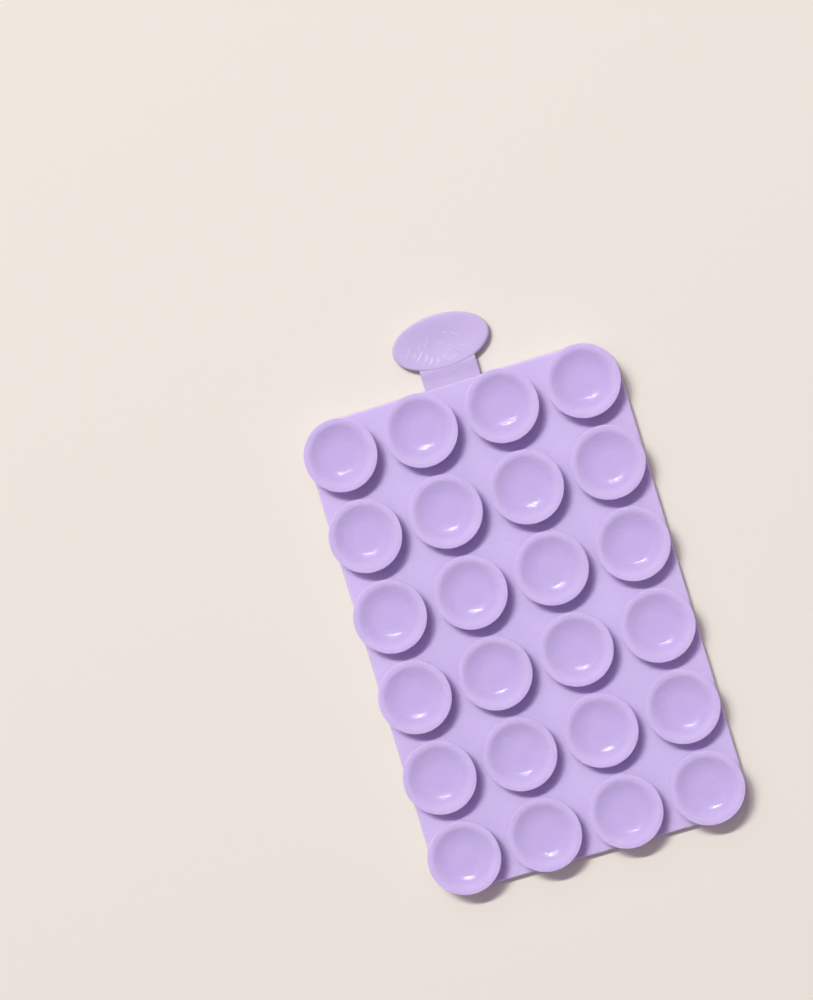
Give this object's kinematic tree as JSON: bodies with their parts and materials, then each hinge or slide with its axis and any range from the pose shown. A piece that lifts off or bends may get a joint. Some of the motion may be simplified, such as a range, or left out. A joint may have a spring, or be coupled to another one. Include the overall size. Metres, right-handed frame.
{
  "type": "suction cup phone holder",
  "caption": "Flat silicone mat with a grid of small open suction cups, an adhesive back face for a phone and a dished pull tab at one end.",
  "frame": {"origin": "centre of the backing, on the adhesive face", "axes": "+Z out of the cups, away from the phone; +Y along the mat towards the pull tab; +X across the mat"},
  "size_m": [0.0562, 0.0972, 0.0068],
  "materials": {
    "silicone": "soft satin, slightly glossy inside the bowls",
    "adhesive": "matt, slightly tacky"
  },
  "bodies": {
    "mat": {"backing": "silicone", "adhesive_pad": "adhesive", "cup_hub_r1c1": "silicone", "cup_hub_r1c2": "silicone", "cup_hub_r1c3": "silicone", "cup_hub_r1c4": "silicone", "cup_hub_r2c1": "silicone", "cup_hub_r2c2": "silicone", "cup_hub_r2c3": "silicone", "cup_hub_r2c4": "silicone", "cup_hub_r3c1": "silicone", "cup_hub_r3c2": "silicone", "cup_hub_r3c3": "silicone", "cup_hub_r3c4": "silicone", "cup_hub_r4c1": "silicone", "cup_hub_r4c2": "silicone", "cup_hub_r4c3": "silicone", "cup_hub_r4c4": "silicone", "cup_hub_r5c1": "silicone", "cup_hub_r5c2": "silicone", "cup_hub_r5c3": "silicone", "cup_hub_r5c4": "silicone", "cup_hub_r6c1": "silicone", "cup_hub_r6c2": "silicone", "cup_hub_r6c3": "silicone", "cup_hub_r6c4": "silicone"},
    "cup_r1c1": {"cup_skirt_r1c1": "silicone"},
    "cup_r1c2": {"cup_skirt_r1c2": "silicone"},
    "cup_r1c3": {"cup_skirt_r1c3": "silicone"},
    "cup_r1c4": {"cup_skirt_r1c4": "silicone"},
    "cup_r2c1": {"cup_skirt_r2c1": "silicone"},
    "cup_r2c2": {"cup_skirt_r2c2": "silicone"},
    "cup_r2c3": {"cup_skirt_r2c3": "silicone"},
    "cup_r2c4": {"cup_skirt_r2c4": "silicone"},
    "cup_r3c1": {"cup_skirt_r3c1": "silicone"},
    "cup_r3c2": {"cup_skirt_r3c2": "silicone"},
    "cup_r3c3": {"cup_skirt_r3c3": "silicone"},
    "cup_r3c4": {"cup_skirt_r3c4": "silicone"},
    "cup_r4c1": {"cup_skirt_r4c1": "silicone"},
    "cup_r4c2": {"cup_skirt_r4c2": "silicone"},
    "cup_r4c3": {"cup_skirt_r4c3": "silicone"},
    "cup_r4c4": {"cup_skirt_r4c4": "silicone"},
    "cup_r5c1": {"cup_skirt_r5c1": "silicone"},
    "cup_r5c2": {"cup_skirt_r5c2": "silicone"},
    "cup_r5c3": {"cup_skirt_r5c3": "silicone"},
    "cup_r5c4": {"cup_skirt_r5c4": "silicone"},
    "cup_r6c1": {"cup_skirt_r6c1": "silicone"},
    "cup_r6c2": {"cup_skirt_r6c2": "silicone"},
    "cup_r6c3": {"cup_skirt_r6c3": "silicone"},
    "cup_r6c4": {"cup_skirt_r6c4": "silicone"},
    "tab_neck": {"pull_tab_neck": "silicone"},
    "tab_grip": {"pull_tab_grip": "silicone"}
  },
  "joints": [
    {"name": "cup_press_r1c1", "type": "slide", "parent": "mat", "child": "cup_r1c1", "axis": [0, 0, -1], "range_m": [0, 0.0012], "stiffness_N_per_m": 1000},
    {"name": "cup_press_r1c2", "type": "slide", "parent": "mat", "child": "cup_r1c2", "axis": [0, 0, -1], "range_m": [0, 0.0012], "stiffness_N_per_m": 1000},
    {"name": "cup_press_r1c3", "type": "slide", "parent": "mat", "child": "cup_r1c3", "axis": [0, 0, -1], "range_m": [0, 0.0012], "stiffness_N_per_m": 1000},
    {"name": "cup_press_r1c4", "type": "slide", "parent": "mat", "child": "cup_r1c4", "axis": [0, 0, -1], "range_m": [0, 0.0012], "stiffness_N_per_m": 1000},
    {"name": "cup_press_r2c1", "type": "slide", "parent": "mat", "child": "cup_r2c1", "axis": [0, 0, -1], "range_m": [0, 0.0012], "stiffness_N_per_m": 1000},
    {"name": "cup_press_r2c2", "type": "slide", "parent": "mat", "child": "cup_r2c2", "axis": [0, 0, -1], "range_m": [0, 0.0012], "stiffness_N_per_m": 1000},
    {"name": "cup_press_r2c3", "type": "slide", "parent": "mat", "child": "cup_r2c3", "axis": [0, 0, -1], "range_m": [0, 0.0012], "stiffness_N_per_m": 1000},
    {"name": "cup_press_r2c4", "type": "slide", "parent": "mat", "child": "cup_r2c4", "axis": [0, 0, -1], "range_m": [0, 0.0012], "stiffness_N_per_m": 1000},
    {"name": "cup_press_r3c1", "type": "slide", "parent": "mat", "child": "cup_r3c1", "axis": [0, 0, -1], "range_m": [0, 0.0012], "stiffness_N_per_m": 1000},
    {"name": "cup_press_r3c2", "type": "slide", "parent": "mat", "child": "cup_r3c2", "axis": [0, 0, -1], "range_m": [0, 0.0012], "stiffness_N_per_m": 1000},
    {"name": "cup_press_r3c3", "type": "slide", "parent": "mat", "child": "cup_r3c3", "axis": [0, 0, -1], "range_m": [0, 0.0012], "stiffness_N_per_m": 1000},
    {"name": "cup_press_r3c4", "type": "slide", "parent": "mat", "child": "cup_r3c4", "axis": [0, 0, -1], "range_m": [0, 0.0012], "stiffness_N_per_m": 1000},
    {"name": "cup_press_r4c1", "type": "slide", "parent": "mat", "child": "cup_r4c1", "axis": [0, 0, -1], "range_m": [0, 0.0012], "stiffness_N_per_m": 1000},
    {"name": "cup_press_r4c2", "type": "slide", "parent": "mat", "child": "cup_r4c2", "axis": [0, 0, -1], "range_m": [0, 0.0012], "stiffness_N_per_m": 1000},
    {"name": "cup_press_r4c3", "type": "slide", "parent": "mat", "child": "cup_r4c3", "axis": [0, 0, -1], "range_m": [0, 0.0012], "stiffness_N_per_m": 1000},
    {"name": "cup_press_r4c4", "type": "slide", "parent": "mat", "child": "cup_r4c4", "axis": [0, 0, -1], "range_m": [0, 0.0012], "stiffness_N_per_m": 1000},
    {"name": "cup_press_r5c1", "type": "slide", "parent": "mat", "child": "cup_r5c1", "axis": [0, 0, -1], "range_m": [0, 0.0012], "stiffness_N_per_m": 1000},
    {"name": "cup_press_r5c2", "type": "slide", "parent": "mat", "child": "cup_r5c2", "axis": [0, 0, -1], "range_m": [0, 0.0012], "stiffness_N_per_m": 1000},
    {"name": "cup_press_r5c3", "type": "slide", "parent": "mat", "child": "cup_r5c3", "axis": [0, 0, -1], "range_m": [0, 0.0012], "stiffness_N_per_m": 1000},
    {"name": "cup_press_r5c4", "type": "slide", "parent": "mat", "child": "cup_r5c4", "axis": [0, 0, -1], "range_m": [0, 0.0012], "stiffness_N_per_m": 1000},
    {"name": "cup_press_r6c1", "type": "slide", "parent": "mat", "child": "cup_r6c1", "axis": [0, 0, -1], "range_m": [0, 0.0012], "stiffness_N_per_m": 1000},
    {"name": "cup_press_r6c2", "type": "slide", "parent": "mat", "child": "cup_r6c2", "axis": [0, 0, -1], "range_m": [0, 0.0012], "stiffness_N_per_m": 1000},
    {"name": "cup_press_r6c3", "type": "slide", "parent": "mat", "child": "cup_r6c3", "axis": [0, 0, -1], "range_m": [0, 0.0012], "stiffness_N_per_m": 1000},
    {"name": "cup_press_r6c4", "type": "slide", "parent": "mat", "child": "cup_r6c4", "axis": [0, 0, -1], "range_m": [0, 0.0012], "stiffness_N_per_m": 1000},
    {"name": "tab_neck_bend", "type": "hinge", "parent": "mat", "child": "tab_neck", "pos_m": [0, 0.0425, 0.002], "axis": [1, 0, 0], "range_deg": [0, 45], "stiffness_Nm_per_rad": 0.0017},
    {"name": "tab_grip_bend", "type": "hinge", "parent": "tab_neck", "child": "tab_grip", "pos_m": [0, 0.04523, 0.002], "axis": [1, 0, 0], "range_deg": [0, 45], "stiffness_Nm_per_rad": 0.0017}
  ]
}
